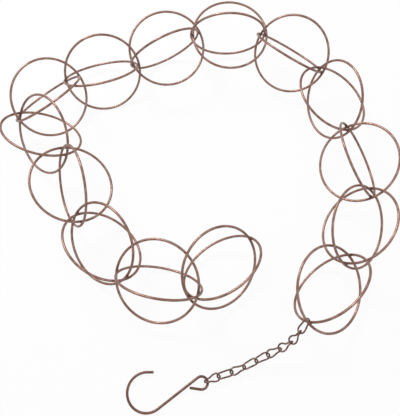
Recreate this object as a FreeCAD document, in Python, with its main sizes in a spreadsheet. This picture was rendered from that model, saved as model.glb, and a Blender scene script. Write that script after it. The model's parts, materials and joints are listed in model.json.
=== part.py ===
import FreeCAD, Part
import math
import os
import Sketcher

# A rain chain that lies curled on a floor. Fourteen wire cages hang in each other, each made of
# two equal hoops that cross at right angles and are welded where they cross. A small chain of
# twisted oval links joins the last cage to a bent wire hook. Lengths are millimetres.

Vector = FreeCAD.Vector
UP = Vector(0, 0, 1)

# Driving sizes: name, value, what it is. Angles are degrees.
SIZES = (
    ("hoop_outside", 120, "outside diameter of a hoop"),
    ("hoop_wire", 3.6, "wire thickness of a hoop"),
    ("weld_sink", 0.3, "how far two hoops sink into each other at a weld"),
    ("cage_play", 0.5, "room between the wires of two cages that hang in each other"),
    ("weld_step", 7.5, "how far beside the last weld the small chain hangs"),
    ("link_play", 0.8, "room between a small link's wire and the wire it hangs in"),
    ("link_inside_length", 19, "inside length of a small link"),
    ("link_inside_width", 8, "inside width of a small link at its ends"),
    ("link_wire", 2.4, "wire thickness of a small link"),
    ("link_twist", 80, "turn from one end of a small link to the other"),
    ("hook_wire", 3.6, "wire thickness of the hook"),
    ("bend_inside", 48, "inside diameter of the hook's bend"),
    ("tip_length", 8.5, "straight end of the hook past its bend"),
    ("shank_length", 65, "straight run from the hook's bend to its eye"),
    ("shank_angle", 37, "slope of the shank against the tip"),
    ("eye_inside", 13, "inside diameter of the hook's eye"),
    ("eye_turn", 225, "how far the wire turns round the eye"),
    ("eye_gap", 0.8, "gap between the eye's cut end and the shank"),
)

# How each cage lies, from the free end: heading and rise of its pole line, roll about that line,
# then the slack towards the next cage along the chain and how far that one is lifted.
CAGE_LAY = (
    (224, 0, 43, 6, 5),
    (163, -6, 55, 8.5, 1),
    (129, 3, 40, 8, 2),
    (108, 5, 113, 4, -1),
    (135, -9, 126, 5.5, 0),
    (44, 0, 133, 14, 1),
    (16, 0, 141, 1, 5),
    (25, 8, 109, 3, -1),
    (1, -1, 98, 1.5, -3),
    (325, -5, 132, -1, 4),
    (287, -1, 154, 0, 1),
    (282, -2, 123, 3.5, 2),
    (248, -6, 44, 6, 1),
    (236, 7, 54, 0, 0),
)

# How each small link lies, from the last cage to the hook: heading, rise and roll.
LINK_LAY = (
    (235, -18, -6),
    (227, -26, -40),
    (208, -29, -40),
    (203, -25, -23),
    (203, -25, 2),
    (206, -15, 0),
    (201, -9, -20),
    (197, 0, -3),
    (200, -2, 19),
)

# How the hook lies: its turn on the floor and the rise of its shank towards the eye.
HOOK_LAY = (0, 2)

# The eye's straight end runs back until only the gap is left between it and the shank.
EYE_ANGLE = "Sizes.eye_turn * 1 deg"
TAIL_LENGTH = f"(Sizes.eye_inside / 2 * (1 - cos({EYE_ANGLE})) - Sizes.eye_gap) / -sin({EYE_ANGLE})"

# Points of a sketch element, and the sketch's origin, as the sketcher counts them.
START, END, CENTRE = 1, 2, 3
ORIGIN = -1

doc = FreeCAD.newDocument("RainChain")
sheet = doc.addObject("Spreadsheet::Sheet", "Sizes")
for row, (alias, value, meaning) in enumerate(SIZES, start=1):
    sheet.set(f"A{row}", meaning)
    sheet.set(f"B{row}", str(value))
    sheet.setAlias(f"B{row}", alias)
doc.recompute()

nodes = []


def size(alias):
    """The value of a driving size."""
    return float(sheet.get(alias))


def add_node(obj, name, place):
    """Name a finished sub-part and put it where it lies."""
    obj.Label = name
    obj.Placement = place
    nodes.append(obj)


def unit(vector):
    """The direction of a vector."""
    return vector * (1 / vector.Length)


def axes(heading, rise, roll):
    """Directions along a piece, across it and over it."""
    turn, lean, spin = (math.radians(angle) for angle in (heading, rise, roll))
    along = Vector(math.cos(lean) * math.cos(turn), math.cos(lean) * math.sin(turn), math.sin(lean))
    level = Vector(-math.sin(turn), math.cos(turn), 0)
    across = level * math.cos(spin) + along.cross(level) * math.sin(spin)
    return along, across, along.cross(across)


def between(before, after):
    """The direction halfway between two pieces' directions."""
    return unit(before + after)


def lay_cages():
    """Walk along the chain: each cage's centre and its three directions."""
    pole = size("hoop_outside") / 2 - size("hoop_wire") / 2
    placed = []
    centre = Vector(0, 0, 0)
    for number, (heading, rise, roll, _, _) in enumerate(CAGE_LAY):
        along, across, over = axes(heading, rise, roll)
        if number:
            last_centre, last_along = placed[-1][:2]
            slack, lift = CAGE_LAY[number - 1][3:]
            path = between(last_along, along)
            gap = 2 * size("hoop_wire") + size("cage_play") + slack
            raised = path.cross(UP.cross(path))
            tail = last_centre + last_along * pole - path * gap + unit(raised) * lift
            centre = tail + along * pole
        placed.append((centre, along, across, over))
    return placed


def add_hoop(name, centre, along, normal):
    """One hoop of a cage: a bent wire ring whose weld points lie on the pole line."""
    hoop = doc.addObject("Part::Torus", name)
    hoop.setExpression("Radius1", "(Sizes.hoop_outside - Sizes.hoop_wire) / 2")
    hoop.setExpression("Radius2", "Sizes.hoop_wire / 2")
    turned = FreeCAD.Rotation(along, normal.cross(along), normal, "ZXY")
    add_node(hoop, name, FreeCAD.Placement(centre, turned))


def weld_shift():
    """How far each hoop of a cage is shifted along the pole line so that both meet at the welds."""
    return (size("hoop_wire") - size("weld_sink")) / 2


def add_cages(placed):
    """Both hoops of every cage, one shifted ahead and one back."""
    shift = weld_shift()
    for number, (centre, along, across, over) in enumerate(placed, start=1):
        add_hoop(f"cage_{number:02d}_hoop_a", centre + along * shift, along, across)
        add_hoop(f"cage_{number:02d}_hoop_b", centre - along * shift, along, over)


def link_reach():
    """Half the length of a small link along its wire's centre line."""
    return (size("link_inside_length") + size("link_wire")) / 2


def link_seat(centre, along, across):
    """The point on the last cage's inner hoop, beside its weld, where the small chain hangs."""
    radius = (size("hoop_outside") - size("hoop_wire")) / 2
    angle = size("weld_step") / radius
    arm = along * math.cos(angle) - across * math.sin(angle)
    return centre - along * weld_shift() + arm * radius


def lay_links(seat):
    """Walk along the small chain from its seat on the last cage: each link's centre and directions."""
    reach = link_reach()
    hang = (size("hoop_wire") + size("link_wire")) / 2 + size("link_play")
    last_along = axes(*LINK_LAY[0])[0]
    placed = []
    for heading, rise, roll in LINK_LAY:
        along, across, over = axes(heading, rise, roll)
        tail = seat - between(last_along, along) * hang
        placed.append((tail + along * reach, along, across, over))
        seat = tail + along * 2 * reach
        hang = size("link_wire") + size("link_play")
        last_along = along
    return placed


def link_half(name, side):
    """Half of a twisted link, from the middle of one end to the middle of the other."""
    reach = link_reach()
    round_end = (size("link_inside_width") + size("link_wire")) / 2
    straight = reach - round_end
    half_twist = math.radians(size("link_twist") / 2)
    swing = round_end * math.sin(math.pi / 4)
    # the wire's sideways direction at the tail end and at the head end
    tail_side = Vector(0, math.cos(half_twist), -math.sin(half_twist)) * side
    head_side = Vector(0, math.cos(half_twist), math.sin(half_twist)) * side
    ahead = Vector(1, 0, 0)
    tail_bend = ahead * -straight + tail_side * round_end
    head_bend = ahead * straight + head_side * round_end
    tail_arc = Part.Arc(
        ahead * -reach,
        ahead * -(straight + swing) + tail_side * swing,
        tail_bend,
    )
    flank = Part.BezierCurve()
    flank.setPoles([tail_bend, tail_bend + ahead * straight, head_bend - ahead * straight, head_bend])
    head_arc = Part.Arc(
        head_bend,
        ahead * (straight + swing) + head_side * swing,
        ahead * reach,
    )
    path = doc.addObject("Part::Feature", f"{name}_path")
    path.Shape = Part.Wire([curve.toShape() for curve in (tail_arc, flank, head_arc)])
    section = doc.addObject("Part::Circle", f"{name}_section")
    section.setExpression("Radius", "Sizes.link_wire / 2")
    section.Placement = FreeCAD.Placement(ahead * -reach, FreeCAD.Rotation(UP, tail_side))
    half = doc.addObject("Part::Sweep", f"{name}_half")
    half.Sections = [section]
    half.Spine = (path, ["Edge1", "Edge2", "Edge3"])
    half.Solid = True
    half.Frenet = False
    return half


def add_links(placed):
    """The small chain's links, each bent from one wire into a closed oval."""
    for number, (centre, along, across, over) in enumerate(placed, start=1):
        name = f"link_{number}"
        link = doc.addObject("Part::Fuse", name)
        link.Base = link_half(f"{name}_left", 1)
        link.Tool = link_half(f"{name}_right", -1)
        link.Refine = True
        add_node(link, name, FreeCAD.Placement(centre, FreeCAD.Rotation(along, across, over, "XYZ")))


def hook_points():
    """Corner points of the hook's centre line, in its own plane with the tip's end at the origin."""
    bend = (size("bend_inside") + size("hook_wire")) / 2
    eye = (size("eye_inside") + size("hook_wire")) / 2
    slope = math.radians(size("shank_angle"))
    turn = math.radians(size("eye_turn"))
    forward = Vector(math.cos(slope), math.sin(slope), 0)
    right = Vector(math.sin(slope), -math.cos(slope), 0)
    bend_centre = Vector(-size("tip_length"), -bend, 0)
    shank_start = bend_centre + right * bend
    shank_end = shank_start + forward * size("shank_length")
    eye_centre = shank_end + right * eye
    # the eye's wire leaves the round part and runs back until its end nearly meets the shank
    tail_start = eye_centre - right * eye * math.cos(turn) + forward * eye * math.sin(turn)
    end_offset = size("hook_wire") / 2 * (1 - math.cos(turn)) + size("eye_gap")
    tail_length = (eye * (1 - math.cos(turn)) - end_offset) / -math.sin(turn)
    tail_end = tail_start + (forward * math.cos(turn) + right * math.sin(turn)) * tail_length
    return {
        "bend_centre": bend_centre,
        "bend_start": Vector(-size("tip_length"), 0, 0),
        "shank_start": shank_start,
        "shank_end": shank_end,
        "eye_centre": eye_centre,
        "tail_start": tail_start,
        "tail_end": tail_end,
        "tail_length": tail_length,
    }


def origin_plane(body, role):
    """One of a body's own origin planes."""
    return next(plane for plane in body.Origin.OriginFeatures if plane.Role == role)


def hook_path(body):
    """Sketch of the hook's centre line: tip, bend, shank, eye and the eye's straight end."""
    points = hook_points()
    bend = (size("bend_inside") + size("hook_wire")) / 2
    eye = (size("eye_inside") + size("hook_wire")) / 2
    slope = math.radians(size("shank_angle"))
    turn = math.radians(size("eye_turn"))
    sketch = body.newObject("Sketcher::SketchObject", "hook_path")
    sketch.AttachmentSupport = (origin_plane(body, "XY_Plane"), [""])
    sketch.MapMode = "FlatFace"
    quarter = math.pi / 2
    bend_circle = Part.Circle(points["bend_centre"], UP, bend)
    eye_circle = Part.Circle(points["eye_centre"], UP, eye)
    shank_side = slope + quarter
    tip = sketch.addGeometry(Part.LineSegment(Vector(0, 0, 0), points["bend_start"]))
    bend_arc = sketch.addGeometry(Part.ArcOfCircle(bend_circle, quarter, slope + 3 * quarter))
    shank = sketch.addGeometry(Part.LineSegment(points["shank_start"], points["shank_end"]))
    eye_arc = sketch.addGeometry(Part.ArcOfCircle(eye_circle, shank_side - turn, shank_side))
    tail = sketch.addGeometry(Part.LineSegment(points["tail_start"], points["tail_end"]))
    sketch.addConstraint(Sketcher.Constraint("Coincident", tip, START, ORIGIN, START))
    sketch.addConstraint(Sketcher.Constraint("Horizontal", tip))
    sketch.addConstraint(Sketcher.Constraint("Tangent", tip, END, bend_arc, START))
    sketch.addConstraint(Sketcher.Constraint("Tangent", bend_arc, END, shank, START))
    sketch.addConstraint(Sketcher.Constraint("Tangent", shank, END, eye_arc, END))
    sketch.addConstraint(Sketcher.Constraint("Tangent", eye_arc, START, tail, START))
    dimensions = (
        ("tip_length", "Distance", (tip, size("tip_length")), "Sizes.tip_length"),
        ("bend_radius", "Radius", (bend_arc, bend), "(Sizes.bend_inside + Sizes.hook_wire) / 2"),
        ("shank_length", "Distance", (shank, size("shank_length")), "Sizes.shank_length"),
        ("shank_slope", "Angle", (shank, slope), "Sizes.shank_angle * 1 deg"),
        ("eye_radius", "Radius", (eye_arc, eye), "(Sizes.eye_inside + Sizes.hook_wire) / 2"),
        ("tail_length", "Distance", (tail, points["tail_length"]), TAIL_LENGTH),
        ("tail_slope", "Angle", (tail, START, shank, END, turn - math.pi), "(Sizes.eye_turn - 180) * 1 deg"),
    )
    for name, kind, values, formula in dimensions:
        place = sketch.addConstraint(Sketcher.Constraint(kind, *values))
        sketch.renameConstraint(place, name)
        sketch.setExpression(f"Constraints.{name}", formula)
    return sketch


def lay_hook(head, along):
    """The hook's placement: its eye hangs on the last link's head end."""
    turn, rise = HOOK_LAY
    slope = math.radians(size("shank_angle"))
    seat = (size("eye_inside") - size("link_wire")) / 2 - size("link_play")
    eye_centre = head + along * seat
    lean = FreeCAD.Rotation(Vector(math.sin(slope), -math.cos(slope), 0), rise)
    turned = FreeCAD.Rotation(UP, turn).multiply(lean)
    return FreeCAD.Placement(eye_centre - turned.multVec(hook_points()["eye_centre"]), turned)


def add_hook(place):
    """The hook: one wire from the tip round the bend, up the shank and round the eye."""
    body = doc.addObject("PartDesign::Body", "hook")
    path = hook_path(body)
    section = body.newObject("Sketcher::SketchObject", "hook_section")
    section.AttachmentSupport = (origin_plane(body, "YZ_Plane"), [""])
    section.MapMode = "FlatFace"
    circle = section.addGeometry(Part.Circle(Vector(0, 0, 0), UP, size("hook_wire") / 2))
    section.addConstraint(Sketcher.Constraint("Coincident", circle, CENTRE, ORIGIN, START))
    radius = section.addConstraint(Sketcher.Constraint("Radius", circle, size("hook_wire") / 2))
    section.renameConstraint(radius, "wire_radius")
    section.setExpression("Constraints.wire_radius", "Sizes.hook_wire / 2")
    doc.recompute()
    wire = body.newObject("PartDesign::AdditivePipe", "hook_wire")
    wire.Profile = section
    wire.Spine = path
    add_node(body, "hook", place)


def centre_on_floor():
    """Shift every piece so that the chain rests on z = 0 with the origin under its middle."""
    box = FreeCAD.BoundBox()
    for obj in nodes:
        box.add(obj.Shape.optimalBoundingBox(False))
    shift = Vector(-box.Center.x, -box.Center.y, -box.ZMin)
    for obj in nodes:
        obj.Placement = FreeCAD.Placement(obj.Placement.Base + shift, obj.Placement.Rotation)
    doc.recompute()


def check_and_write():
    """Stop on anything that failed, then write each sub-part to its own file."""
    for obj in doc.Objects:
        if "Invalid" in obj.State or "Error" in obj.State:
            raise RuntimeError(f"{obj.Name} failed: {obj.State}")
    for obj in nodes:
        if obj.Shape.isNull() or not obj.Shape.isValid() or len(obj.Shape.Solids) != 1:
            raise RuntimeError(f"{obj.Label} is not one valid solid")
    os.makedirs("parts", exist_ok=True)
    for obj in nodes:
        obj.Shape.exportStep(f"parts/{obj.Label}.step")


cages = lay_cages()
links = lay_links(link_seat(*cages[-1][:3]))
last_link_centre, last_link_along = links[-1][:2]
add_cages(cages)
add_links(links)
add_hook(lay_hook(last_link_centre + last_link_along * link_reach(), last_link_along))
doc.recompute()
centre_on_floor()
check_and_write()
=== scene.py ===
import json
import logging
import math
from collections.abc import Sequence
from dataclasses import dataclass, field
from enum import Enum

import bmesh
import bpy
import numpy as np
from mathutils import Matrix, Vector

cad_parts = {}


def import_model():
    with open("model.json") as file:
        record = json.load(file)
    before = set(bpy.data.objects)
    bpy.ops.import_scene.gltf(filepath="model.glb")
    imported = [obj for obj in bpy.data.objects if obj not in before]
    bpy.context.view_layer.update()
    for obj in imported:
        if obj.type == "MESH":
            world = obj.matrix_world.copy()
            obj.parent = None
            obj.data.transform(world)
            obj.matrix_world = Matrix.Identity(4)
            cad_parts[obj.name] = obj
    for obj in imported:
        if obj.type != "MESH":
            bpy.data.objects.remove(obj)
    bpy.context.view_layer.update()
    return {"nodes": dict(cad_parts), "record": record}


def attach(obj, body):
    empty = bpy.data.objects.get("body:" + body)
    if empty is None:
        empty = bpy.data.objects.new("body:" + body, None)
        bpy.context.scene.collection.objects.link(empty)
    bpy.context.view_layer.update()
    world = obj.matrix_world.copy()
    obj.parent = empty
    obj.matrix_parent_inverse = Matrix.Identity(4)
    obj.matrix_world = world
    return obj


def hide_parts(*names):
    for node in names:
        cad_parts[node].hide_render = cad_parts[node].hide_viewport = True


# Looks of the rain chain: welded cages of crossed wire hoops, a small chain of twisted links and a
# bent hook, all in aged copper, on a pale floor. Lengths are metres.

LOG = logging.getLogger("rain_chain")
MM = 0.001
CAGE_COUNT = 14
LINK_COUNT = 9
# the attribute that says how much a weld's heat darkened the wire
HEAT = "weld_heat"
# faces that meet at a larger angle keep a sharp edge
SHARP_EDGE = math.radians(42)

Triple = tuple[float, float, float]
Pair = tuple[float, float]
Nodes = dict[str, bpy.types.Object]


# Finishes


class Tone(Enum):
    """Which piece of wire, or its weld, a finish is for."""

    HOOP = "hoop_wire"
    LINK = "link_wire"
    HOOK = "hook_wire"
    WELD = "weld_bead"


Paint = dict[Tone, bpy.types.Material]


@dataclass(frozen=True)
class CopperFinish:
    """Aged copper on wire.

    Args:
        tone: the wire that takes this finish.
        brown: main colour of the aged film, linear RGB.
        dark: colour of the darker stains.
        bare: colour where the film is thin and copper shows.
        roughness: lowest and highest roughness of the film.
        metallic: how metallic the film looks.
        stain_size: width of a stain in metres.
        thin_size: width of a thin spot in metres.
    """

    tone: Tone
    brown: Triple
    dark: Triple
    bare: Triple
    roughness: Pair
    metallic: float
    stain_size: float
    thin_size: float


FINISHES: dict[Tone, CopperFinish] = {
    Tone.HOOP: CopperFinish(
        tone=Tone.HOOP,
        brown=(0.258, 0.126, 0.091),
        dark=(0.128, 0.049, 0.033),
        bare=(0.512, 0.346, 0.290),
        roughness=(0.30, 0.46),
        metallic=0.45,
        stain_size=17 * MM,
        thin_size=8 * MM,
    ),
    Tone.LINK: CopperFinish(
        tone=Tone.LINK,
        brown=(0.148, 0.071, 0.056),
        dark=(0.072, 0.029, 0.022),
        bare=(0.308, 0.212, 0.183),
        roughness=(0.28, 0.44),
        metallic=0.50,
        stain_size=9 * MM,
        thin_size=4 * MM,
    ),
    Tone.HOOK: CopperFinish(
        tone=Tone.HOOK,
        brown=(0.138, 0.055, 0.038),
        dark=(0.065, 0.023, 0.015),
        bare=(0.264, 0.146, 0.114),
        roughness=(0.30, 0.46),
        metallic=0.45,
        stain_size=14 * MM,
        thin_size=7 * MM,
    ),
    Tone.WELD: CopperFinish(
        tone=Tone.WELD,
        brown=(0.148, 0.063, 0.047),
        dark=(0.075, 0.033, 0.024),
        bare=(0.272, 0.146, 0.110),
        roughness=(0.42, 0.62),
        metallic=0.40,
        stain_size=4 * MM,
        thin_size=1.2 * MM,
    ),
}


@dataclass(frozen=True)
class FilmPattern:
    """Noise that lays out the film's stains, thin spots and pits on every wire.

    Args:
        detail: detail of the noise for stains and thin spots.
        stain_grain: roughness of the noise for stains.
        thin_grain: roughness of the noise for thin spots.
        stain_range: noise values where a stain begins and where it is full.
        thin_range: noise values where a thin spot begins and where it is full.
        pit_size: width of a pit.
        pit_detail: detail of the noise for pits.
        pit_grain: roughness of the noise for pits.
        pit_strength: how strongly the pits bend the light.
        pit_depth: depth of a pit.
    """

    detail: float = 5.0
    stain_grain: float = 0.55
    thin_grain: float = 0.58
    stain_range: Pair = (0.44, 0.90)
    thin_range: Pair = (0.42, 0.94)
    pit_size: float = 0.7 * MM
    pit_detail: float = 4.0
    pit_grain: float = 0.7
    pit_strength: float = 0.12
    pit_depth: float = 0.15 * MM


@dataclass(frozen=True)
class WeldPattern:
    """How every weld bead is made lumpy, and how its heat tints the wire.

    Args:
        bead_rounds: how often the faces of the bead's ball are divided.
        lump_scale: scale of the noise for lumps, per metre.
        lump_detail: detail of that noise.
        heat_core: distance from a weld up to which the tint is full.
        heat_depth: the full tint, as a share of a full stain.
    """

    bead_rounds: int = 4
    lump_scale: float = 420
    lump_detail: float = 2
    heat_core: float = 3 * MM
    heat_depth: float = 0.6


# Shaders


class NodeTools:
    """Short ways to start a node group and to add nodes."""

    @staticmethod
    def add(
        tree: bpy.types.NodeTree,
        kind: str,
        values: dict[str | int, object] | None = None,
        **settings: object,
    ) -> bpy.types.Node:
        """Add a node, set its properties and then the values of its inputs.

        Args:
            tree: the tree that gets the node.
            kind: the node's type name.
            values: the values of its inputs, by name or number.
            settings: the node's properties by name.

        Returns:
            The new node.
        """
        node = tree.nodes.new(kind)
        for name, value in settings.items():
            setattr(node, name, value)
        for key, value in (values or {}).items():
            node.inputs[key].default_value = value
        return node

    @staticmethod
    def group(
        name: str,
        kind: str,
        takes: dict[str, str],
        gives: dict[str, str],
    ) -> tuple[bpy.types.NodeTree, bpy.types.Node, bpy.types.Node]:
        """Start a node group with named inputs and outputs.

        Args:
            name: the group's name.
            kind: the group's type name.
            takes: the inputs' names and kinds.
            gives: the outputs' names and kinds.

        Returns:
            The group, its input node and its output node.
        """
        tree = bpy.data.node_groups.new(name, kind)
        for way, sockets in (("INPUT", takes), ("OUTPUT", gives)):
            for label, sort in sockets.items():
                tree.interface.new_socket(name=label, in_out=way, socket_type=f"NodeSocket{sort}")
        source = NodeTools.add(tree, "NodeGroupInput")
        result = NodeTools.add(tree, "NodeGroupOutput")
        return tree, source, result


class Patina:
    """Shader groups for the aged film: stains, thin spots and the drawn wire's fine pits."""

    def __init__(self, pattern: FilmPattern) -> None:
        """Build both groups once.

        Args:
            pattern: the noise that lays out the film.
        """
        self.pattern = pattern
        self.film = self._film()
        self.pits = self._pits()

    def _film(self) -> bpy.types.ShaderNodeTree:
        """Stains and thin spots of the film as two masks; the heat of a weld counts as a stain.

        Returns:
            The group, with the outputs Stain and Thin.
        """
        look = self.pattern
        takes = {"Vector": "Vector", "Stain Scale": "Float", "Thin Scale": "Float", "Heat": "Float"}
        gives = {"Stain": "Float", "Thin": "Float"}
        tree, source, result = NodeTools.group("aged_film", "ShaderNodeTree", takes, gives)
        broad_noise = {"Detail": look.detail, "Roughness": look.stain_grain}
        broad = NodeTools.add(tree, "ShaderNodeTexNoise", broad_noise)
        fine_noise = {"Detail": look.detail, "Roughness": look.thin_grain}
        fine = NodeTools.add(tree, "ShaderNodeTexNoise", fine_noise)
        stain_range = {"From Min": look.stain_range[0], "From Max": look.stain_range[1]}
        stain = NodeTools.add(tree, "ShaderNodeMapRange", stain_range)
        thin_range = {"From Min": look.thin_range[0], "From Max": look.thin_range[1]}
        thin = NodeTools.add(tree, "ShaderNodeMapRange", thin_range)
        link = tree.links.new
        link(source.outputs["Vector"], broad.inputs["Vector"])
        link(source.outputs["Stain Scale"], broad.inputs["Scale"])
        link(source.outputs["Vector"], fine.inputs["Vector"])
        link(source.outputs["Thin Scale"], fine.inputs["Scale"])
        link(broad.outputs["Fac"], stain.inputs["Value"])
        link(fine.outputs["Fac"], thin.inputs["Value"])
        darker = NodeTools.add(tree, "ShaderNodeMath", operation="MAXIMUM")
        link(stain.outputs["Result"], darker.inputs[0])
        link(source.outputs["Heat"], darker.inputs[1])
        link(darker.outputs["Value"], result.inputs["Stain"])
        # thin spots fade where a weld's heat darkened the film
        cool = NodeTools.add(tree, "ShaderNodeMath", {0: 1}, operation="SUBTRACT")
        link(source.outputs["Heat"], cool.inputs[1])
        left = NodeTools.add(tree, "ShaderNodeMath", operation="MULTIPLY")
        link(thin.outputs["Result"], left.inputs[0])
        link(cool.outputs["Value"], left.inputs[1])
        link(left.outputs["Value"], result.inputs["Thin"])
        return tree

    def _pits(self) -> bpy.types.ShaderNodeTree:
        """Fine pits of the film as a height.

        Returns:
            The group, with the output Height.
        """
        takes = {"Vector": "Vector", "Pit Scale": "Float"}
        tree, source, result = NodeTools.group("film_pits", "ShaderNodeTree", takes, {"Height": "Float"})
        noise = {"Detail": self.pattern.pit_detail, "Roughness": self.pattern.pit_grain}
        grain = NodeTools.add(tree, "ShaderNodeTexNoise", noise)
        link = tree.links.new
        link(source.outputs["Vector"], grain.inputs["Vector"])
        link(source.outputs["Pit Scale"], grain.inputs["Scale"])
        link(grain.outputs["Fac"], result.inputs["Height"])
        return tree

    def material(self, finish: CopperFinish) -> bpy.types.Material:
        """Make one wire's material.

        Args:
            finish: colours and gloss of the film.

        Returns:
            The material.
        """
        look = self.pattern
        material = bpy.data.materials.new(finish.tone.value)
        material.use_nodes = True
        tree = material.node_tree
        tree.nodes.clear()
        link = tree.links.new
        place = NodeTools.add(tree, "ShaderNodeTexCoord")
        scales = {"Stain Scale": 1 / finish.stain_size, "Thin Scale": 1 / finish.thin_size}
        film = NodeTools.add(tree, "ShaderNodeGroup", scales, node_tree=self.film)
        pits = NodeTools.add(tree, "ShaderNodeGroup", {"Pit Scale": 1 / look.pit_size}, node_tree=self.pits)
        colours = {"A": (*finish.brown, 1), "B": (*finish.dark, 1)}
        stained = NodeTools.add(tree, "ShaderNodeMix", colours, data_type="RGBA")
        worn = NodeTools.add(tree, "ShaderNodeMix", {"B": (*finish.bare, 1)}, data_type="RGBA")
        sheen = {"To Min": finish.roughness[0], "To Max": finish.roughness[1]}
        gloss = NodeTools.add(tree, "ShaderNodeMapRange", sheen)
        relief = {"Strength": look.pit_strength, "Distance": look.pit_depth}
        bump = NodeTools.add(tree, "ShaderNodeBump", relief)
        shader = NodeTools.add(tree, "ShaderNodeBsdfPrincipled", {"Metallic": finish.metallic})
        output = NodeTools.add(tree, "ShaderNodeOutputMaterial")
        heat = NodeTools.add(tree, "ShaderNodeAttribute", attribute_name=HEAT)
        link(heat.outputs["Fac"], film.inputs["Heat"])
        link(place.outputs["Object"], film.inputs["Vector"])
        link(place.outputs["Object"], pits.inputs["Vector"])
        link(film.outputs["Stain"], stained.inputs["Factor"])
        link(stained.outputs["Result"], worn.inputs["A"])
        link(film.outputs["Thin"], worn.inputs["Factor"])
        link(worn.outputs["Result"], shader.inputs["Base Color"])
        link(film.outputs["Stain"], gloss.inputs["Value"])
        link(gloss.outputs["Result"], shader.inputs["Roughness"])
        link(pits.outputs["Height"], bump.inputs["Height"])
        link(bump.outputs["Normal"], shader.inputs["Normal"])
        link(shader.outputs["BSDF"], output.inputs["Surface"])
        return material


# Measures of the loaded solids


@dataclass(frozen=True)
class Spread:
    """Area-weighted middle and principal directions of a mesh.

    Args:
        middle: the middle of the surface.
        axes: directions as rows, from the widest spread to the narrowest.
    """

    middle: np.ndarray
    axes: np.ndarray

    @staticmethod
    def of_node(name: str, nodes: Nodes) -> "Spread":
        """Measure a CAD node.

        Args:
            name: the node's name.
            nodes: the loaded nodes.

        Returns:
            The node's spread.
        """
        mesh = nodes[name].data
        mesh.calc_loop_triangles()
        points = np.empty(len(mesh.vertices) * 3)
        mesh.vertices.foreach_get("co", points)
        points = points.reshape(-1, 3)
        corners = np.empty(len(mesh.loop_triangles) * 3, dtype=np.int32)
        mesh.loop_triangles.foreach_get("vertices", corners)
        triangles = points[corners.reshape(-1, 3)]
        edge_a = triangles[:, 1] - triangles[:, 0]
        edge_b = triangles[:, 2] - triangles[:, 0]
        weight = np.linalg.norm(np.cross(edge_a, edge_b), axis=1)
        centres = triangles.mean(axis=1)
        middle = np.average(centres, axis=0, weights=weight)
        offsets = centres - middle
        spread = (offsets * weight[:, None]).T @ offsets
        _, vectors = np.linalg.eigh(spread)
        return Spread(middle, vectors.T[::-1])


def placed(directions: Sequence[np.ndarray], middle: np.ndarray) -> Matrix:
    """The place of a piece from its own directions and its middle.

    Args:
        directions: where the piece's X, Y and Z point.
        middle: where its origin lies.

    Returns:
        The place.
    """
    place = Matrix.Identity(4)
    for column, direction in enumerate(directions):
        place.col[column] = (*direction, 0)
    place.col[3] = (*middle, 1)
    return place


# Wire


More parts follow.
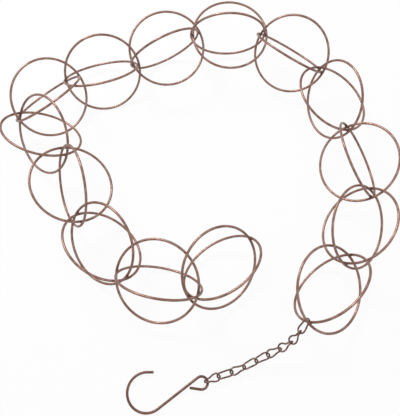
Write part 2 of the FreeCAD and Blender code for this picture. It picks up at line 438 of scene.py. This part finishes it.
class WireShop:
    """Geometry Nodes trees that bend wire, and the step that turns their result into plain meshes."""

    def __init__(self, pattern: WeldPattern) -> None:
        """Build the trees once.

        Args:
            pattern: how the weld beads look.
        """
        self.pattern = pattern
        self.sweep = self._sweep()
        self.cage = self._cage()

    @staticmethod
    def _sweep() -> bpy.types.GeometryNodeTree:
        """A round wire along the object's own curve.

        Returns:
            The tree.
        """
        takes = {
            "Geometry": "Geometry",
            "Wire Radius": "Float",
            "Wire Sides": "Int",
            "Wire Material": "Material",
        }
        gives = {"Geometry": "Geometry"}
        tree, source, result = NodeTools.group("wire_on_path", "GeometryNodeTree", takes, gives)
        round_wire = NodeTools.add(tree, "GeometryNodeCurvePrimitiveCircle")
        thickness = NodeTools.add(tree, "GeometryNodeInputRadius")
        swept = NodeTools.add(tree, "GeometryNodeCurveToMesh", {"Fill Caps": True})
        real = NodeTools.add(tree, "GeometryNodeRealizeInstances")
        dressed = NodeTools.add(tree, "GeometryNodeSetMaterial")
        link = tree.links.new
        link(source.outputs["Wire Radius"], round_wire.inputs["Radius"])
        link(source.outputs["Wire Sides"], round_wire.inputs["Resolution"])
        link(source.outputs["Geometry"], swept.inputs["Curve"])
        link(thickness.outputs["Radius"], swept.inputs["Scale"])
        link(round_wire.outputs["Curve"], swept.inputs["Profile Curve"])
        link(swept.outputs["Mesh"], real.inputs["Geometry"])
        link(real.outputs["Geometry"], dressed.inputs["Geometry"])
        link(source.outputs["Wire Material"], dressed.inputs["Material"])
        link(dressed.outputs["Geometry"], result.inputs["Geometry"])
        return tree

    def _cage(self) -> bpy.types.GeometryNodeTree:
        """Two crossed hoops, with the pole line along X, and a lumpy weld bead on each pole.

        Returns:
            The tree.
        """
        takes = {
            "Hoop Radius": "Float",
            "Hoop Steps": "Int",
            "Wire Radius": "Float",
            "Wire Sides": "Int",
            "Weld Shift": "Vector",
            "Bead Size": "Vector",
            "Bead Lumps": "Float",
            "Heat Reach": "Float",
            "Seed": "Float",
            "Wire Material": "Material",
            "Weld Material": "Material",
        }
        gives = {"Geometry": "Geometry"}
        tree, source, result = NodeTools.group("crossed_hoops", "GeometryNodeTree", takes, gives)
        link = tree.links.new
        pole = NodeTools.add(tree, "ShaderNodeCombineXYZ")
        link(source.outputs["Hoop Radius"], pole.inputs["X"])
        other_pole = NodeTools.add(tree, "ShaderNodeVectorMath", {"Scale": -1}, operation="SCALE")
        link(pole.outputs["Vector"], other_pole.inputs[0])
        poles = (pole.outputs["Vector"], other_pole.outputs["Vector"])
        cage = NodeTools.add(tree, "GeometryNodeJoinGeometry")
        link(self._hoops(tree, source), cage.inputs["Geometry"])
        link(self._beads(tree, source, poles), cage.inputs["Geometry"])
        kept = NodeTools.add(
            tree, "GeometryNodeStoreNamedAttribute", {"Name": HEAT}, data_type="FLOAT", domain="POINT"
        )
        link(cage.outputs["Geometry"], kept.inputs["Geometry"])
        link(self._heat(tree, source, poles), kept.inputs["Value"])
        whole = NodeTools.add(tree, "GeometryNodeRealizeInstances")
        link(kept.outputs["Geometry"], whole.inputs["Geometry"])
        link(whole.outputs["Geometry"], result.inputs["Geometry"])
        return tree

    @staticmethod
    def _hoops(tree: bpy.types.GeometryNodeTree, source: bpy.types.Node) -> bpy.types.NodeSocket:
        """Two hoops at right angles, moved apart along the pole line by the weld shift.

        Args:
            tree: the cage's tree.
            source: its input node.

        Returns:
            The socket with the finished wire.
        """
        link = tree.links.new
        circle = NodeTools.add(tree, "GeometryNodeCurvePrimitiveCircle")
        link(source.outputs["Hoop Radius"], circle.inputs["Radius"])
        link(source.outputs["Hoop Steps"], circle.inputs["Resolution"])
        ahead = NodeTools.add(tree, "GeometryNodeTransform", {"Rotation": (math.pi / 2, 0, 0)})
        back_shift = NodeTools.add(tree, "ShaderNodeVectorMath", {"Scale": -1}, operation="SCALE")
        back = NodeTools.add(tree, "GeometryNodeTransform")
        link(circle.outputs["Curve"], ahead.inputs["Geometry"])
        link(source.outputs["Weld Shift"], ahead.inputs["Translation"])
        link(source.outputs["Weld Shift"], back_shift.inputs[0])
        link(circle.outputs["Curve"], back.inputs["Geometry"])
        link(back_shift.outputs["Vector"], back.inputs["Translation"])
        hoops = NodeTools.add(tree, "GeometryNodeJoinGeometry")
        link(ahead.outputs["Geometry"], hoops.inputs["Geometry"])
        link(back.outputs["Geometry"], hoops.inputs["Geometry"])
        round_wire = NodeTools.add(tree, "GeometryNodeCurvePrimitiveCircle")
        link(source.outputs["Wire Radius"], round_wire.inputs["Radius"])
        link(source.outputs["Wire Sides"], round_wire.inputs["Resolution"])
        swept = NodeTools.add(tree, "GeometryNodeCurveToMesh")
        link(hoops.outputs["Geometry"], swept.inputs["Curve"])
        link(round_wire.outputs["Curve"], swept.inputs["Profile Curve"])
        wire = NodeTools.add(tree, "GeometryNodeSetMaterial")
        link(swept.outputs["Mesh"], wire.inputs["Geometry"])
        link(source.outputs["Wire Material"], wire.inputs["Material"])
        return wire.outputs["Geometry"]

    def _beads(
        self,
        tree: bpy.types.GeometryNodeTree,
        source: bpy.types.Node,
        poles: Sequence[bpy.types.NodeSocket],
    ) -> bpy.types.NodeSocket:
        """A weld bead on each pole, made lumpy by noise that differs from pole to pole.

        Args:
            tree: the cage's tree.
            source: its input node.
            poles: the sockets with the two poles' places.

        Returns:
            The socket with both beads.
        """
        look = self.pattern
        link = tree.links.new
        line = NodeTools.add(tree, "GeometryNodeMeshLine", {"Count": len(poles)}, mode="END_POINTS")
        link(poles[0], line.inputs["Start Location"])
        link(poles[1], line.inputs["Offset"])
        ball = {"Radius": 1, "Subdivisions": look.bead_rounds}
        blob = NodeTools.add(tree, "GeometryNodeMeshIcoSphere", ball)
        beads = NodeTools.add(tree, "GeometryNodeInstanceOnPoints")
        link(line.outputs["Mesh"], beads.inputs["Points"])
        link(blob.outputs["Mesh"], beads.inputs["Instance"])
        link(source.outputs["Bead Size"], beads.inputs["Scale"])
        real = NodeTools.add(tree, "GeometryNodeRealizeInstances")
        link(beads.outputs["Instances"], real.inputs["Geometry"])
        noise = {"Scale": look.lump_scale, "Detail": look.lump_detail}
        lumps = NodeTools.add(tree, "ShaderNodeTexNoise", noise, noise_dimensions="4D")
        link(source.outputs["Seed"], lumps.inputs["W"])
        centred = NodeTools.add(tree, "ShaderNodeMath", {1: 0.5}, operation="SUBTRACT")
        link(lumps.outputs["Fac"], centred.inputs[0])
        height = NodeTools.add(tree, "ShaderNodeMath", operation="MULTIPLY")
        link(centred.outputs["Value"], height.inputs[0])
        link(source.outputs["Bead Lumps"], height.inputs[1])
        outward = NodeTools.add(tree, "GeometryNodeInputNormal")
        push = NodeTools.add(tree, "ShaderNodeVectorMath", operation="SCALE")
        link(outward.outputs["Normal"], push.inputs[0])
        link(height.outputs["Value"], push.inputs["Scale"])
        lumpy = NodeTools.add(tree, "GeometryNodeSetPosition")
        link(real.outputs["Geometry"], lumpy.inputs["Geometry"])
        link(push.outputs["Vector"], lumpy.inputs["Offset"])
        weld = NodeTools.add(tree, "GeometryNodeSetMaterial")
        link(lumpy.outputs["Geometry"], weld.inputs["Geometry"])
        link(source.outputs["Weld Material"], weld.inputs["Material"])
        return weld.outputs["Geometry"]

    def _heat(
        self,
        tree: bpy.types.GeometryNodeTree,
        source: bpy.types.Node,
        poles: Sequence[bpy.types.NodeSocket],
    ) -> bpy.types.NodeSocket:
        """How much the wire was darkened by the heat of the nearer weld.

        Args:
            tree: the cage's tree.
            source: its input node.
            poles: the sockets with the two poles' places.

        Returns:
            The socket with the value.
        """
        look = self.pattern
        link = tree.links.new
        spot = NodeTools.add(tree, "GeometryNodeInputPosition")
        near = NodeTools.add(tree, "ShaderNodeMath", operation="MINIMUM")
        for slot, pole in enumerate(poles):
            away = NodeTools.add(tree, "ShaderNodeVectorMath", operation="DISTANCE")
            link(spot.outputs["Position"], away.inputs[0])
            link(pole, away.inputs[1])
            link(away.outputs["Value"], near.inputs[slot])
        fade = {"From Min": look.heat_core, "To Min": look.heat_depth, "To Max": 0}
        tint = NodeTools.add(tree, "ShaderNodeMapRange", fade, interpolation_type="SMOOTHSTEP")
        link(near.outputs["Value"], tint.inputs["Value"])
        link(source.outputs["Heat Reach"], tint.inputs["From Max"])
        return tint.outputs["Result"]

    @staticmethod
    def run(
        name: str,
        data: bpy.types.ID,
        tree: bpy.types.GeometryNodeTree,
        values: dict[str, object],
        place: Matrix,
    ) -> bpy.types.Object:
        """Run a tree on an object and keep the result as a plain mesh at the origin.

        Args:
            name: name of the finished piece.
            data: the mesh or curve that the tree starts from.
            tree: the Geometry Nodes tree.
            values: the tree's inputs by name.
            place: where the result goes.

        Returns:
            The finished piece.
        """
        worker = bpy.data.objects.new(f"{name}_path", data)
        bpy.context.scene.collection.objects.link(worker)
        modifier = worker.modifiers.new("wire", "NODES")
        modifier.node_group = tree
        for item in tree.interface.items_tree:
            if item.in_out == "INPUT" and item.name in values:
                modifier[item.identifier] = values[item.name]
        bpy.context.view_layer.update()
        depsgraph = bpy.context.evaluated_depsgraph_get()
        mesh = bpy.data.meshes.new_from_object(worker.evaluated_get(depsgraph), depsgraph=depsgraph)
        mesh.name = name
        mesh.transform(place)
        shape = bmesh.new()
        shape.from_mesh(mesh)
        bmesh.ops.recalc_face_normals(shape, faces=shape.faces)
        shape.to_mesh(mesh)
        shape.free()
        # keep only the material slots that faces use
        given = np.empty(len(mesh.polygons), dtype=np.int32)
        mesh.polygons.foreach_get("material_index", given)
        used = np.unique(given)
        materials = [mesh.materials[int(index)] for index in used]
        mesh.materials.clear()
        for material in materials:
            mesh.materials.append(material)
        mesh.polygons.foreach_set("material_index", np.searchsorted(used, given).astype(np.int32))
        mesh.shade_smooth()
        mesh.set_sharp_from_angle(angle=SHARP_EDGE)
        bpy.data.objects.remove(worker)
        piece = bpy.data.objects.new(name, mesh)
        bpy.context.scene.collection.objects.link(piece)
        return piece


def shortened(points: np.ndarray, length: float) -> tuple[np.ndarray, np.ndarray]:
    """Where a centre line would end if both its ends were cut shorter.

    Args:
        points: the wire's centre line in order.
        length: what each end loses.

    Returns:
        The new first and last point.
    """
    ends = []
    for end, inner in ((0, 1), (-1, -2)):
        way = points[inner] - points[end]
        ends.append(points[end] + way / np.linalg.norm(way) * length)
    return ends[0], ends[1]


def cut_wire(name: str, points: np.ndarray, wire: float, edge: float) -> bpy.types.Curve:
    """A polyline curve for a length of wire whose two cut ends have a broken edge.

    Args:
        name: name of the curve.
        points: the wire's centre line in order.
        wire: wire thickness.
        edge: width of the broken edge.

    Returns:
        The curve, with the share of the wire's thickness as its radius.
    """
    head, tail = shortened(points, edge)
    line = np.vstack([points[:1], head, points[1:-1], tail, points[-1:]])
    radii = np.ones(len(line))
    radii[[0, -1]] = 1 - 2 * edge / wire
    curve = bpy.data.curves.new(name, "CURVE")
    curve.dimensions = "3D"
    spline = curve.splines.new("POLY")
    spline.points.add(len(line) - 1)
    spline.points.foreach_set("co", np.c_[line, np.ones(len(line))].ravel())
    spline.points.foreach_set("radius", radii)
    return curve


# Pieces of the chain


@dataclass(frozen=True)
class CageFit:
    """Where a cage lies and how large its hoops are.

    Args:
        place: the cage's place, with the pole line along its X.
        hoop: radius of a hoop's centre line.
        wire: radius of the wire.
        shift: how far each hoop lies from the cage's middle, along the pole line.
    """

    place: Matrix
    hoop: float
    wire: float
    shift: float


@dataclass
class WireCage:
    """One cage: two hoops that cross at right angles, welded at both poles.

    Args:
        number: place in the chain, from the free end.
        hoop_steps: segments round a hoop.
        wire_sides: sides of the round wire.
        bead_long: half the bead's length along the pole line.
        bead_wide: half the bead's width across it.
        bead_lumps: how far the bead's surface goes in and out.
        heat_reach: how far from a weld the wire is darkened.
    """

    number: int
    hoop_steps: int = 192
    wire_sides: int = 24
    bead_long: float = 1.6 * MM
    bead_wide: float = 2.3 * MM
    bead_lumps: float = 0.9 * MM
    heat_reach: float = 13 * MM

    @property
    def name(self) -> str:
        """The cage's body name."""
        return f"cage_{self.number:02d}"

    def fit(self, nodes: Nodes) -> CageFit:
        """Measure where the CAD hoops lie.

        Args:
            nodes: the loaded nodes.

        Returns:
            The cage's place and sizes.
        """
        ahead = Spread.of_node(f"{self.name}_hoop_a", nodes)
        back = Spread.of_node(f"{self.name}_hoop_b", nodes)
        across, over = ahead.axes[2], back.axes[2]
        pole = np.cross(across, over)
        pole /= np.linalg.norm(pole)
        if pole @ (ahead.middle - back.middle) < 0:
            pole = -pole
        over = np.cross(pole, across)
        middle = (ahead.middle + back.middle) / 2
        shift = pole @ (ahead.middle - back.middle) / 2
        mesh = nodes[f"{self.name}_hoop_a"].data
        reach = np.array([vertex.co[:] for vertex in mesh.vertices]) - ahead.middle
        lift = reach @ across
        out = np.linalg.norm(reach - lift[:, None] * across, axis=1)
        wire = lift.max()
        return CageFit(placed((pole, across, over), middle), out.max() - wire, wire, shift)

    def build(self, nodes: Nodes, shop: WireShop, paint: Paint) -> None:
        """Bend the hoops, weld them and hand the piece to its body.

        Args:
            nodes: the loaded nodes.
            shop: the trees that bend wire.
            paint: the finished materials.
        """
        fit = self.fit(nodes)
        values = {
            "Hoop Radius": fit.hoop,
            "Hoop Steps": self.hoop_steps,
            "Wire Radius": fit.wire,
            "Wire Sides": self.wire_sides,
            "Weld Shift": (fit.shift, 0.0, 0.0),
            "Bead Size": (self.bead_long, self.bead_wide, self.bead_wide),
            "Bead Lumps": self.bead_lumps,
            "Heat Reach": self.heat_reach,
            "Seed": float(self.number),
            "Wire Material": paint[Tone.HOOP],
            "Weld Material": paint[Tone.WELD],
        }
        start = bpy.data.meshes.new(self.name)
        piece = shop.run(f"{self.name}_wire", start, shop.cage, values, fit.place)
        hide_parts(f"{self.name}_hoop_a", f"{self.name}_hoop_b")
        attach(piece, self.name)
        LOG.info("%s: %d faces", piece.name, len(piece.data.polygons))


@dataclass
class TwistedLink:
    """One link of the small chain: an oval of wire, twisted from end to end, with an open butt joint.

    Args:
        number: place in the small chain, from the last cage.
        inside_length: inside length.
        inside_width: inside width at the ends.
        wire: wire thickness.
        twist: turn from one end to the other, in degrees.
        joint: width of the butt joint in one flank.
        edge: width of the broken edge at the wire's cut ends.
        wire_sides: sides of the round wire.
        flank_points: points along a flank; an odd number, so that one lies in its middle.
        bend_points: points round an end, with the two that it shares with the flanks.
    """

    number: int
    inside_length: float = 19 * MM
    inside_width: float = 8 * MM
    wire: float = 2.4 * MM
    twist: float = 80
    joint: float = 0.06 * MM
    edge: float = 0.16 * MM
    wire_sides: int = 16
    flank_points: int = 29
    bend_points: int = 27

    @property
    def name(self) -> str:
        """The link's body and node name."""
        return f"link_{self.number}"

    def centre_line(self) -> np.ndarray:
        """The wire's centre line, once round from the middle of one flank.

        Returns:
            The points in order, in the link's own directions.
        """
        reach = (self.inside_length + self.wire) / 2
        bend = (self.inside_width + self.wire) / 2
        straight = reach - bend
        half = math.radians(self.twist / 2)
        tail = np.array((0, math.cos(half), -math.sin(half)))
        head = np.array((0, math.cos(half), math.sin(half)))
        ahead = np.array((1.0, 0, 0))
        start, end = tail * bend - ahead * straight, head * bend + ahead * straight
        handle_a, handle_b = start + ahead * straight, end - ahead * straight
        share = np.linspace(0, 1, self.flank_points)[:, None]
        rest = 1 - share
        near = rest**3 * start + 3 * rest**2 * share * handle_a
        flank = near + 3 * rest * share**2 * handle_b + share**3 * end
        turn = np.linspace(math.pi / 2, -math.pi / 2, self.bend_points)[1:-1, None]
        head_end = ahead * (straight + bend * np.cos(turn)) + head * bend * np.sin(turn)
        tail_end = -ahead * (straight + bend * np.cos(turn)) - tail * bend * np.sin(turn)
        other = flank[::-1] * np.array((1, -1, -1))
        middle = len(flank) // 2
        return np.vstack([flank[middle:], head_end, other, tail_end, flank[: middle + 1]])

    def build(self, nodes: Nodes, shop: WireShop, paint: Paint) -> None:
        """Bend the link and hand it to its body.

        Args:
            nodes: the loaded nodes.
            shop: the trees that bend wire.
            paint: the finished materials.
        """
        spread = Spread.of_node(self.name, nodes)
        along, across = spread.axes[0], spread.axes[1]
        place = placed((along, across, np.cross(along, across)), spread.middle)
        points = self.centre_line()
        # both ends of the wire stop short of each other
        points[0], points[-1] = shortened(points, self.joint / 2)
        curve = cut_wire(self.name, points, self.wire, self.edge)
        values = {
            "Wire Radius": self.wire / 2,
            "Wire Sides": self.wire_sides,
            "Wire Material": paint[Tone.LINK],
        }
        piece = shop.run(f"{self.name}_wire", curve, shop.sweep, values, place)
        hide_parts(self.name)
        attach(piece, self.name)
        LOG.info("%s: %d faces", piece.name, len(piece.data.polygons))


@dataclass
class WireHook:
    """The hook: tip, bend, shank and eye bent from one wire.

    Args:
        wire: wire thickness.
        bend_inside: inside diameter of the bend.
        tip: straight end past the bend.
        shank: straight run from bend to eye.
        slope: slope of the shank against the tip, in degrees.
        eye_inside: inside diameter of the eye.
        eye_turn: turn of the wire round the eye, in degrees.
        eye_gap: gap between the eye's cut end and the shank.
        rise: rise of the shank towards the eye, in degrees.
        step: distance between points of the centre line.
        least_straight: fewest steps of a straight run.
        least_arc: fewest steps of an arc.
        edge: width of the broken edge at the wire's cut ends.
        wire_sides: sides of the round wire.
    """

    wire: float = 3.6 * MM
    bend_inside: float = 48 * MM
    tip: float = 8.5 * MM
    shank: float = 65 * MM
    slope: float = 37
    eye_inside: float = 13 * MM
    eye_turn: float = 225
    eye_gap: float = 0.8 * MM
    rise: float = 2
    step: float = 0.8 * MM
    least_straight: int = 2
    least_arc: int = 8
    edge: float = 0.3 * MM
    wire_sides: int = 20
    name: str = field(default="hook", init=False)

    def run_straight(self, start: np.ndarray, way: np.ndarray, length: float) -> np.ndarray:
        """Points of a straight run, without its first point.

        Args:
            start: where the run starts.
            way: its direction.
            length: its length.

        Returns:
            The points in order.
        """
        count = max(self.least_straight, round(length / self.step))
        return start + way * (np.linspace(0, length, count + 1)[1:, None])

    def run_arc(self, centre: np.ndarray, radius: float, start: float, turn: float) -> np.ndarray:
        """Points of an arc in the hook's plane, without its first point.

        Args:
            centre: centre of the arc.
            radius: radius of the wire's centre line.
            start: angle of the first point, in radians.
            turn: signed angle of the arc, in radians.

        Returns:
            The points in order.
        """
        count = max(self.least_arc, round(abs(turn) * radius / self.step))
        angle = start + np.linspace(0, turn, count + 1)[1:]
        return centre + radius * np.c_[np.cos(angle), np.sin(angle), np.zeros(count)]

    def centre_line(self) -> np.ndarray:
        """The wire's centre line from tip to eye, with the bend's centre at the origin.

        Returns:
            The points in order, in the hook's own plane.
        """
        bend = (self.bend_inside + self.wire) / 2
        eye = (self.eye_inside + self.wire) / 2
        slope, turn = math.radians(self.slope), math.radians(self.eye_turn)
        forward = np.array((math.cos(slope), math.sin(slope), 0))
        right = np.array((math.sin(slope), -math.cos(slope), 0))
        tip = np.array((self.tip, bend, 0))
        runs = [tip[None, :], self.run_straight(tip, np.array((-1.0, 0, 0)), self.tip)]
        runs.append(self.run_arc(np.zeros(3), bend, math.pi / 2, math.pi + slope))
        runs.append(self.run_straight(right * bend, forward, self.shank))
        eye_centre = right * (bend + eye) + forward * self.shank
        runs.append(self.run_arc(eye_centre, eye, slope + math.pi / 2, -turn))
        end_offset = self.wire / 2 * (1 - math.cos(turn)) + self.eye_gap
        tail = (eye * (1 - math.cos(turn)) - end_offset) / -math.sin(turn)
        tail_way = forward * math.cos(turn) + right * math.sin(turn)
        runs.append(self.run_straight(runs[-1][-1], tail_way, tail))
        return np.vstack(runs)

    def build(self, record: dict, shop: WireShop, paint: Paint) -> None:
        """Bend the hook and hand it to its body.

        Args:
            record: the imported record, whose mount gives the bend's centre.
            shop: the trees that bend wire.
            paint: the finished materials.
        """
        slope = math.radians(self.slope)
        level = Vector((math.sin(slope), -math.cos(slope), 0))
        lean = Matrix.Rotation(math.radians(self.rise), 4, level)
        place = Matrix.Translation(record["mounts"][0]["pos_m"]) @ lean
        curve = cut_wire(self.name, self.centre_line(), self.wire, self.edge)
        values = {
            "Wire Radius": self.wire / 2,
            "Wire Sides": self.wire_sides,
            "Wire Material": paint[Tone.HOOK],
        }
        piece = shop.run(f"{self.name}_wire", curve, shop.sweep, values, place)
        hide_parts(self.name)
        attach(piece, self.name)
        LOG.info("%s: %d faces", piece.name, len(piece.data.polygons))


# Floor, light and camera


@dataclass(frozen=True)
class Lamp:
    """A square soft lamp that faces the origin.

    Args:
        name: the lamp's name.
        place: where it hangs.
        size: its side.
        power: its power in watts.
    """

    name: str
    place: Triple
    size: float
    power: float

    def hang(self) -> None:
        """Put the lamp into the scene."""
        data = bpy.data.lights.new(self.name, "AREA")
        data.size = self.size
        data.energy = self.power
        lamp = bpy.data.objects.new(self.name, data)
        lamp.location = self.place
        lamp.rotation_euler = (-Vector(self.place)).to_track_quat("-Z", "Y").to_euler()
        bpy.context.scene.collection.objects.link(lamp)


LAMPS = (
    Lamp(name="key", place=(-0.9, 1.1, 1.7), size=0.8, power=35),
    Lamp(name="fill", place=(1.3, -0.9, 1.5), size=1.2, power=7),
)


@dataclass
class Studio:
    """Pale floor, soft light and the photograph's camera.

    Args:
        target: point that the camera looks at, near the floor, from the first cage's middle.
        distance: from the camera to that point.
        elevation: camera's height above the horizon, in degrees.
        focal_pixels: focal length in pixels of the 400 x 416 image.
        image_height: height of that image.
        sensor: height of the camera's sensor in millimetres.
        nearest: distance from which the camera sees.
        floor_half: half the floor's side.
        floor_grey: how much light the floor returns.
        shadow: how much of the floor's own shading shows to the camera.
        surround: strength of the light from all round; what is seen of it is white.
    """

    target: Triple = (-28 * MM, 107 * MM, -49 * MM)
    distance: float = 0.850
    elevation: float = 67.3
    focal_pixels: float = 566
    image_height: int = 416
    sensor: float = 36
    nearest: float = 0.01
    floor_half: float = 6.0
    floor_grey: float = 0.93
    shadow: float = 0.07
    surround: float = 0.30

    def camera(self, first_cage: Vector) -> None:
        """Set the camera up.

        Args:
            first_cage: middle of the first cage.
        """
        data = bpy.data.cameras.new("camera")
        data.sensor_fit = "VERTICAL"
        data.sensor_height = self.sensor
        data.lens = data.sensor_height * self.focal_pixels / self.image_height
        data.clip_start = self.nearest
        camera = bpy.data.objects.new("camera", data)
        tilt = math.radians(self.elevation)
        back = Vector((0, -math.cos(tilt), math.sin(tilt)))
        camera.location = first_cage + Vector(self.target) + back * self.distance
        camera.rotation_euler = (math.pi / 2 - tilt, 0, 0)
        bpy.context.scene.collection.objects.link(camera)
        bpy.context.scene.camera = camera

    @staticmethod
    def seen_directly(tree: bpy.types.NodeTree) -> bpy.types.NodeSocket:
        """One where a camera, glossy or transmitted ray looks, else zero.

        Args:
            tree: the material's or world's tree.

        Returns:
            The socket with the value.
        """
        path = NodeTools.add(tree, "ShaderNodeLightPath")
        first = NodeTools.add(tree, "ShaderNodeMath", operation="MAXIMUM")
        second = NodeTools.add(tree, "ShaderNodeMath", operation="MAXIMUM")
        tree.links.new(path.outputs["Is Camera Ray"], first.inputs[0])
        tree.links.new(path.outputs["Is Glossy Ray"], first.inputs[1])
        tree.links.new(first.outputs["Value"], second.inputs[0])
        tree.links.new(path.outputs["Is Transmission Ray"], second.inputs[1])
        return second.outputs["Value"]

    def floor(self) -> None:
        """A large pale floor that shows white and keeps a faint shadow."""
        mesh = bpy.data.meshes.new("floor")
        half, grey = self.floor_half, self.floor_grey
        corners = [(-half, -half, 0), (half, -half, 0), (half, half, 0), (-half, half, 0)]
        mesh.from_pydata(corners, [], [(0, 1, 2, 3)])
        floor = bpy.data.objects.new("floor", mesh)
        bpy.context.scene.collection.objects.link(floor)
        material = bpy.data.materials.new("pale_floor")
        material.use_nodes = True
        tree = material.node_tree
        tree.nodes.clear()
        matt = NodeTools.add(tree, "ShaderNodeBsdfDiffuse", {"Color": (grey, grey, grey, 1)})
        white = NodeTools.add(tree, "ShaderNodeEmission")
        share = NodeTools.add(tree, "ShaderNodeMath", {1: 1 - self.shadow}, operation="MULTIPLY")
        mixed = NodeTools.add(tree, "ShaderNodeMixShader")
        output = NodeTools.add(tree, "ShaderNodeOutputMaterial")
        tree.links.new(self.seen_directly(tree), share.inputs[0])
        tree.links.new(share.outputs["Value"], mixed.inputs["Fac"])
        tree.links.new(matt.outputs["BSDF"], mixed.inputs[1])
        tree.links.new(white.outputs["Emission"], mixed.inputs[2])
        tree.links.new(mixed.outputs["Shader"], output.inputs["Surface"])
        mesh.materials.append(material)

    def world(self) -> None:
        """An even, pale surround that shows white."""
        world = bpy.data.worlds.new("studio")
        bpy.context.scene.world = world
        world.use_nodes = True
        tree = world.node_tree
        tree.nodes.clear()
        strength = NodeTools.add(tree, "ShaderNodeMapRange", {"To Min": self.surround, "To Max": 1.0})
        back = NodeTools.add(tree, "ShaderNodeBackground", {"Color": (1, 1, 1, 1)})
        output = NodeTools.add(tree, "ShaderNodeOutputWorld")
        tree.links.new(self.seen_directly(tree), strength.inputs["Value"])
        tree.links.new(strength.outputs["Result"], back.inputs["Strength"])
        tree.links.new(back.outputs["Background"], output.inputs["Surface"])

    def build(self, first_cage: Vector) -> None:
        """Set up floor, light and camera.

        Args:
            first_cage: middle of the first cage.
        """
        bpy.context.scene.view_settings.view_transform = "Standard"
        self.floor()
        self.world()
        for lamp in LAMPS:
            lamp.hang()
        self.camera(first_cage)


def main() -> None:
    """Build every piece on the loaded frame."""
    logging.basicConfig(level=logging.INFO, format="%(message)s")
    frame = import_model()
    nodes = frame["nodes"]
    patina = Patina(FilmPattern())
    paint = {tone: patina.material(finish) for tone, finish in FINISHES.items()}
    shop = WireShop(WeldPattern())
    cages = [WireCage(number) for number in range(1, CAGE_COUNT + 1)]
    for cage in cages:
        cage.build(nodes, shop, paint)
    for number in range(1, LINK_COUNT + 1):
        TwistedLink(number).build(nodes, shop, paint)
    WireHook().build(frame["record"], shop, paint)
    Studio().build(cages[0].fit(nodes).place.translation)
    bpy.context.view_layer.update()


if __name__ == "__main__":
    main()
